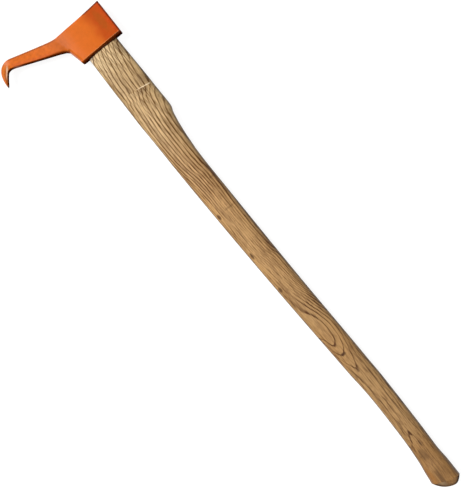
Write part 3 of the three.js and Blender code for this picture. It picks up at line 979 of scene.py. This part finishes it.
# ash
ashLook = {
    "light": shade(246, 212, 158),
    "dark": shade(114, 74, 10),
    "lightBrown": shade(208, 163, 106),
    "darkBrown": shade(94, 52, 10),
    # grey: the painted shade on the handle's edges
    "grey": shade(84, 76, 72),
    # pale: the painted highlights on the knob's end and the tongue's step, and the bare wood of the
    # pared corner
    "pale": shade(236, 212, 174),
    # mark: dark marks, with painted shade among them
    "mark": shade(78, 44, 14),
    # the painted shadow of the head, and its darker edge
    "headShadow": shade(146, 62, 12),
    "headShadowEdge": shade(50, 16, 4),
    # rim: the painted shade round the knob's end
    "rim": shade(82, 58, 42),
    "end": shade(226, 180, 124),
    "amber": shade(200, 134, 62),
    # the part of x that the curves below cover, and the least and greatest that they can draw
    "curvesFrom": -60,
    "curvesLength": 960,
    "ranges": {
        "year": (0, 30), "loopYears": (-3, 5), "frontBend": (0, 4), "brightness": (0, 1),
        "warmth": (0, 1),
    },
    "otherRange": (-40, 40),
    # [x, value] along the handle: the path of one growth line on the upper side
    "path": [
        (-30, 12), (31, 0), (50, -5.7), (65, -8.3), (80, -10.8), (95, -12), (116, -12.2),
        (130, -17.5), (155, -21.3), (185, -23.5), (230, -22), (255, -19), (286, -13.5),
        (330, -11.5), (395, -9), (415, -8), (445, -2), (470, 2), (501, 9), (560, 22), (900, 22),
    ],
    # the width of a year's growth there
    "year": [
        (-30, 7), (60, 6.6), (110, 6.4), (180, 5.4), (240, 4.8), (300, 3.8), (400, 3.2), (500, 3.4),
        (540, 4.5), (580, 8.5), (620, 10), (655, 13), (700, 20), (900, 24),
    ],
    # how bright and how much redder the wood is; past x 862 the rise in brightness is painted light
    # on the knob's end, which faces away from the light
    "brightness": [
        (-30, 1), (40, 0.84), (60, 0.79), (97, 0.66), (113, 0.68), (120, 0.79), (175, 0.86),
        (300, 0.95), (360, 0.88), (470, 0.86), (540, 0.765), (610, 0.74), (650, 0.7), (700, 0.7),
        (740, 0.69), (790, 0.61), (840, 0.54), (862, 0.54), (874, 0.66), (900, 0.85),
    ],
    "warmth": [
        (-30, 0), (50, 0.05), (70, 0.4), (97, 0.6), (113, 0.4), (150, 0.2), (200, 0.05),
        (540, 0.05), (610, 0.4), (670, 0.1), (740, 0.1), (790, 0.5), (835, 1), (900, 1),
    ],
    # past the loops' start the lines close into loops round a middle line; a loop ends where the
    # count of years passes a whole number
    "loopStart": (440, 505),  # sets in and is full
    "loopMiddle": [
        (440, -36), (470, -29), (500, -21), (530, -12), (550, -8.5), (582, -4), (604, -3.5),
        (623, -2), (655, 2.5), (690, 6), (740, 6), (777, 4), (900, 4),
    ],
    "loopYears": [
        (440, -0.8), (470, 0.75), (500, 1.4), (530, 1.25), (565, 0.5), (582, 0.6), (604, 1.15),
        (623, 2.15), (655, 3.15), (690, 3.55), (715, 3.6), (745, 3.5), (765, 3.22), (777, 3.05),
        (790, 2.97), (800, 2.92), (830, 2.8), (900, 2.6),
    ],
    "loopBend": 0.0065,  # years for each square millimetre from the middle line
    # how many times as much on the front side
    "frontBend": [
        (440, 1), (560, 1), (585, 1.5), (600, 3), (650, 3), (685, 1.8), (724, 2.2), (765, 2),
        (777, 1.3), (790, 0.8), (800, 0.6), (900, 0.5),
    ],
    "yearsBefore": 6.8,  # years on the path
    "yearsDeep": 0.1,  # years for each millimetre down into the wood
    "surfaceTop": 28.3,  # z of the upper side
    # two single lines on the grip, between the last loop and the knob
    "upperLine": [
        (600, 18), (646, 16.2), (660, 14.8), (694, 14.6), (722, 13.7), (760, 13.2), (800, 13),
    ],
    "lowerLine": [
        (600, -14), (640, -9), (650, -7.2), (671, -3.6), (684, -2.3), (707, -2.2), (720, -0.4),
        (740, -1.4), (762, -1.7), (780, -3.4), (800, -6),
    ],
    # x where each of them sets in, is full, leaves off and is gone
    "singlesSeen": (636, 660, 740, 792),
    "calmWood": (270, 350, 505, 545),  # hardly any lines between the years
    "evenWood": (150, 230, 600, 640),  # little difference from fibre to fibre
    "loopWood": (505, 540, 605, 625),  # darker lines
    # x where they are gone, and up to where they are full
    "linesEnd": (815, 782),
    "faintEnd": (545, 500),  # of the faint lines between the years
    "quietFrom": (860, 790),  # the fibres, which only weaken to a half
    # dark marks: x, y, half their length and width, strength; the first three are painted shade
    # beside the head, before the tongue's step and on the step's shaded side
    "marksAndShade": [
        (44, 25, 18, 10, 0.5), (106, 20, 10, 9, 0.4), (121, 9, 5, 8, 0.4), (287, 11, 1.6, 7, 0.4),
        (340, 2, 1.6, 10, 0.4), (343, -20.5, 5, 2.2, 1), (420, -17.8, 6, 1.9, 1),
        (487, -15.5, 4.5, 2.6, 0.9), (622, -1, 2.5, 4.5, 0.9), (655, 2, 3, 2.5, 0.6),
        (777, 3.4, 4, 0.9, 0.5), (799, 7.2, 6, 1.2, 0.9), (816, 0, 10, 5.5, 0.5),
        (862, -0.6, 17, 3.6, 0.45),
    ],
    "amberPatch": (853, -13, 20, 6),  # x, y, half its length and width
    "domeStart": (26, 20),  # from the handle's end: where the knob's end sets in and is full
    "step": (1, 7, 23, 25.5),  # y between which the tongue's step catches the light
    "headShadowSpan": (20, 26, 32.1, 33.1),  # the painted shadow of the head on the wood beside it, as above
    "headShadowEdged": (29.2, 31.6),  # where the painted shadow darkens towards its edge
    "chip": ((30, -18.5), (43, -25.8)),  # the pared corner beside the head
    "roughness": 0.5,
    "gloss": 0.3,
    "relief": 0.7,
}


def alongHandle(sheet, look, x, name):  # reads one of the curves along the handle
    start, length = look["curvesFrom"], look["curvesLength"]
    low, high = look["ranges"].get(name, look["otherRange"])
    rows = [((place - start) / length, (value - low) / (high - low)) for place, value in look[name]]
    return sheet.curve(rows, (x - start) / length) * (high - low) + low


def ashYears(sheet, look, x, y, z):  # counts the years' growth that has been cut through
    def along(name):
        return alongHandle(sheet, look, x, name)

    straight = (y - along("path")) / along("year") + look["yearsBefore"]
    off = y - along("loopMiddle")
    bend = 1 + (along("frontBend") - 1) * sheet.math("LESS_THAN", off, 0.0)
    looped = off * off * bend * look["loopBend"] + along("loopYears")
    turned = sheet.fade(x, *look["loopStart"])
    return straight + (looped - straight) * turned + (z - look["surfaceTop"]) * look["yearsDeep"]


def ashMarksAndShade(sheet, look, x, y, z):
    total = 0
    for *spot, strength in look["marksAndShade"]:
        total = total + sheet.fade(awayFrom(x, y, spot), 1.7, 0.1) * strength
    return total * sheet.fade(z, 12, 20)


def ashSingles(sheet, look, place, x, y):
    total = 0
    for name in ("upperLine", "lowerLine"):
        line = alongHandle(sheet, look, x, name)
        away = sheet.math("ABSOLUTE", y + sheet.grain(place, 16, 7, 1.0) - line)
        total = total + sheet.fade(away, 1.1, 0.3) * (sheet.grain(place, 30, 4) + 1)
    return total * sheet.span(x, look["singlesSeen"])


def ashWood(sheet, look, place, x, y, z):  # colour of the bare wood, and what its relief follows
    def grain(length, width, detail=2.0):
        return sheet.grain(place, length, width, detail)

    wavering = y + grain(80, 40, 1.0) * 2.5 + grain(16, 7, 1.0) * 1.2
    years = ashYears(sheet, look, x, wavering, z)
    past = sheet.math("FRACT", years) * alongHandle(sheet, look, x, "year")
    line = sheet.fade(past, 0, 0.5) * sheet.fade(past, 2.6, 0.7) * sheet.fade(x, *look["linesEnd"])
    between = sheet.math("FRACT", years * 3.3 + grain(60, 9) * 2)
    faint = sheet.fade(between, 0.45, 0.1) * sheet.fade(between, 0, 0.08) * (grain(30, 6) + 0.5)
    faint = faint * sheet.fade(x, *look["faintEnd"])
    count = {"W": sheet.math("FLOOR", years)}
    year = sheet.add("ShaderNodeTexWhiteNoise", {"noise_dimensions": "1D"}, count)
    calm = sheet.span(x, look["calmWood"]) * (0.3 + sheet.fade(y, 14, 0) * 0.35)
    strength = 0.72 + year * 0.35 + grain(50, 12) * 0.8
    strength = strength * (1 - calm + sheet.span(x, look["loopWood"]) * 0.35)
    quiet = sheet.fade(x, *look["quietFrom"]) * 0.5 + 0.5
    streaks, fine = grain(40, 2.2, 3) * quiet, grain(12, 1.3, 2) * quiet
    pores = sheet.fade(grain(4, 0.8, 1), 0.08, 0.26)
    patches = grain(60, 14, 2)
    browner = sheet.fade(x + streaks * 60, 40, 320)
    light = sheet.colours(browner, look["light"], look["lightBrown"])
    dark = sheet.colours(browner, look["dark"], look["darkBrown"])
    mask = line * strength * 0.85 + faint * (1 - calm) * 0.5 + patches * 0.8
    even = 1 - sheet.span(x, look["evenWood"]) * 0.35
    mask = mask + (streaks * 2.2 + fine * 1.9) * even + 0.2
    amber = sheet.fade(awayFrom(x, wavering, look["amberPatch"]), 1.5, 0.2)
    marksAndShade = sheet.clamp(ashMarksAndShade(sheet, look, x, wavering, z))
    colour = sheet.paint(sheet.colours(sheet.clamp(mask), light, dark), look, [
        (pores * 0.35, "darkBrown"),
        (amber * 0.4, "amber"),
        (marksAndShade * 0.85, "mark"),
        (sheet.clamp(ashSingles(sheet, look, place, x, y) * 0.6), "mark"),
    ])
    tone, warmth = (alongHandle(sheet, look, x, name) for name in ("brightness", "warmth"))
    tint = sheet.point(tone, tone * (1 - warmth * 0.11), tone * (1 - warmth * 0.27))
    return sheet.colours(1.0, colour, tint, "MULTIPLY"), line, streaks, fine, pores, patches


def ashStep(sheet, look, x, y, streaks, broken):  # the painted highlight on the rising edge that ends the tongue
    leaning = y * (handle["tongueLean"] / handle["tongueWidth"])
    riser = (x - footPlace - handle["tongueLength"]) - leaning
    start, full, leaving, gone = look["step"]
    ridge = sheet.span(riser, (-0.4, 0.5, 1.3, 2.2)) * sheet.fade(y + streaks * 12, start, full)
    return ridge * sheet.fade(y, gone, leaving) * (0.45 + sheet.fade(broken, -0.12, 0.06) * 0.5)


def makeAsh(look):
    material, sheet, surface = newMaterial("oiled_ash", look["light"])
    place = sheet.millimetres()
    x, y, z = sheet.parts(place)
    facing = sheet.facing()
    colour, line, streaks, fine, pores, patches = ashWood(sheet, look, place, x, y, z)
    # painted shade on the handle's edges, strongest on the side facing +y, away from the light
    turned = sheet.fade(facing[1], 0.5, 1.0) * 0.5 + sheet.fade(facing[1], -0.75, -1.0) * 0.4
    fromEnd = handleHigh.x / mm - x
    onDome = sheet.fade(fromEnd, *look["domeStart"]) * sheet.fade(facing[0], 0.15, 0.4)
    glint = sheet.fade(facing[2], 0.94, 0.91) * sheet.fade(y, 4, -4) * 0.2
    # painted shade along the outline of the knob's end, where it turns away from the light
    ended = onDome * sheet.fade(facing[2], 0.9, 0.6)
    endWay = Vector((handle["knobWidth"], handle["knobSlant"])).normalized()
    squarely = facing[0] * endWay.x - facing[1] * endWay.y  # how squarely the end is faced
    cut = sheet.fade(squarely, 0.68, 0.99) * (0.75 + sheet.cloud(sheet.scaled(place, 1 / 1.6)))
    step = ashStep(sheet, look, x, y, streaks, sheet.grain(place, 9, 2.2, 1))
    alongChip, besideChip = alongLine(x, y, *look["chip"])
    pared = sheet.fade(alongChip, 1.1, 0.95) * sheet.fade(z, 8, 12)
    slit = sheet.fade(sheet.math("ABSOLUTE", besideChip), 1.3, 0.5)
    colour = sheet.paint(colour, look, [
        (turned, "grey"),
        (onDome * glint, "pale"),
        (sheet.clamp(ended * (0.9 + patches * 0.7)), "rim"),
        (sheet.clamp(ended * cut), "end"),
        (step, "pale"),
        (pared * sheet.fade(besideChip, 0.3, 0.9) * 0.8, "pale"),
        (pared * slit * 0.9, "mark"),
    ])
    # painted shadow of the head on the wood beside it
    start, full, leaving, gone = look["headShadowSpan"]
    inHeadShadow = sheet.fade(x + sheet.grain(place, 30, 2.5) * 2.2, gone, leaving)
    inHeadShadow = inHeadShadow * sheet.fade(x, start, full)
    headShadow = sheet.colours(sheet.fade(x, *look["headShadowEdged"]), look["headShadow"], look["headShadowEdge"])
    colour = sheet.colours(inHeadShadow * 0.95, colour, headShadow)
    height = line * -0.05 - pores * 0.1 + fine * 0.06 + streaks * 0.08
    sheet.plug(surface, {
        "Base Color": colour,
        "Roughness": look["roughness"] + line * 0.12 + fine * 0.15,
        "Specular IOR Level": look["gloss"],
        "Normal": sheet.bump(height, look["relief"]),
    })
    mattWhere(sheet, surface, sheet.math("MAXIMUM", inHeadShadow, ended), colour)
    return material


ash = makeAsh(ashLook)
ashHandle = growHandle(ash)
cutWith(ashHandle, handleCutters())
smoothShade(ashHandle.data, handle["sharpAngle"])
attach(ashHandle, "root")
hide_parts("handle")
print("handle shaped:", len(ashHandle.data.polygons), "faces")

# wedge finishes
wedgeLook = {
    "wood": shade(196, 158, 108),
    "woodDark": shade(140, 98, 58),
    "woodRoughness": 0.68,
    "woodRelief": 0.8,
    "steel": shade(128, 124, 120),
    "steelRoughness": 0.42,
    "steelRelief": 0.9,
    "metal": 0.95,
}


def makeWedgeWood(look):
    material, sheet, surface = newMaterial("wedge_wood", look["wood"])
    place = sheet.millimetres()
    fibres = sheet.grain(place, 14, 0.8, 3)
    crushed = sheet.cloud(sheet.scaled(place, 1 / 2.5), 2)
    darker = sheet.clamp(0.4 + fibres * 1.6 + crushed * 0.6)
    sheet.plug(surface, {
        "Base Color": sheet.colours(darker, look["wood"], look["woodDark"]),
        "Roughness": look["woodRoughness"] + fibres * 0.2,
        "Normal": sheet.bump(fibres * 0.25 + crushed * 0.2, look["woodRelief"]),
    })
    return material


def makeBareSteel(look):
    material, sheet, surface = newMaterial("bare_steel", look["steel"])
    place = sheet.millimetres()
    scale = sheet.cloud(sheet.scaled(place, 1 / 1.8), 4, 0.6)
    dents = sheet.cloud(sheet.scaled(place, 1 / 3.5), 1)
    tone = 1 + scale * 0.7
    sheet.plug(surface, {
        "Base Color": sheet.colours(1.0, look["steel"], sheet.point(tone, tone, tone), "MULTIPLY"),
        "Metallic": look["metal"],
        "Roughness": sheet.clamp(look["steelRoughness"] + scale * 0.5),
        "Normal": sheet.bump(scale * 0.08 + dents * 0.3, look["steelRelief"]),
    })
    return material


wedgeWood = makeWedgeWood(wedgeLook)
bareSteel = makeBareSteel(wedgeLook)
dressWedge("eye_wedge", wedgeWood)
dressWedge("steel_wedge_1", bareSteel)
dressWedge("steel_wedge_2", bareSteel)
print("wedges driven")

# studio
studio = {
    "floorReach": 6000,
    "floorHeight": -0.2,
    "floorRoughness": 0.9,
    "floorTone": 0.25,  # what the object sees of the floor
    "floorWhite": 0.9,  # what the eye sees of it besides
    "skyTone": 0.14,
    # where from, how bright and how wide in degrees
    "key": ((-0.62, -0.5, 1), 3.1, 30),
    "back": ((-0.05, 0.42, 0.9), 0.35, 16),
    "low": ((0.5, -0.1, 0.85), 0.3, 16),
}


def seenByEye(sheet):  # 1 for what the camera sees, straight or by way of gloss
    path = sheet.add("ShaderNodeLightPath")
    glossy, through = path.output("Is Glossy Ray"), path.output("Is Transmission Ray")
    return sheet.clamp(path.output("Is Camera Ray") + glossy + through)


def makeFloor(look):
    material, sheet, surface = newMaterial("studio_floor", shade(250, 250, 250))
    sheet.plug(surface, {
        "Base Color": (look["floorTone"],) * 3 + (1,),
        "Roughness": look["floorRoughness"],
        "Specular IOR Level": 0,
    })
    plain = Wire(sheet, surface.outputs[0])
    glow = {"Color": (1, 1, 1, 1), "Strength": look["floorWhite"]}
    white = sheet.add("ShaderNodeEmission", None, glow)
    both = sheet.add("ShaderNodeAddShader", None, [plain, white])
    coverWith(sheet, sheet.add("ShaderNodeMixShader", None, [seenByEye(sheet), plain, both]))
    reach = look["floorReach"]
    corners = [(-reach, -reach), (reach, -reach), (reach, reach), (-reach, reach)]
    points = [Vector((x, y, look["floorHeight"])) for x, y in corners]
    mesh = meshFrom("studio_floor", points, [(0, 1, 2, 3)])
    addObject("studio_floor", mesh, material)


def makeLamp(name, place, brightness, width):
    data = bpy.data.lights.new(name, "SUN")
    data.energy = brightness
    data.angle = math.radians(width)
    lamp = bpy.data.objects.new(name, data)
    lamp.location = Vector(place)
    lamp.rotation_euler = Vector(place).to_track_quat("Z", "Y").to_euler()
    putInScene(lamp)


def makeSky(tone):
    world = bpy.data.worlds.new("studio")
    world.use_nodes = True
    bpy.context.scene.world = world
    sheet = NodeSheet(world.node_tree)
    _, _, up = sheet.parts(sheet.add("ShaderNodeTexCoord"))
    horizon = sheet.fade(up, 0.7, 0.2)  # the ceiling is dark
    strength = tone + seenByEye(sheet) * horizon * (1 - tone)
    background = world.node_tree.nodes["Background"]
    sheet.plug(background, {"Color": (1, 1, 1, 1), "Strength": strength})


makeFloor(studio)
for name in ("key", "back", "low"):
    makeLamp(name, *studio[name])
makeSky(studio["skyTone"])
bpy.context.scene.view_settings.view_transform = "Standard"
print("studio lit")
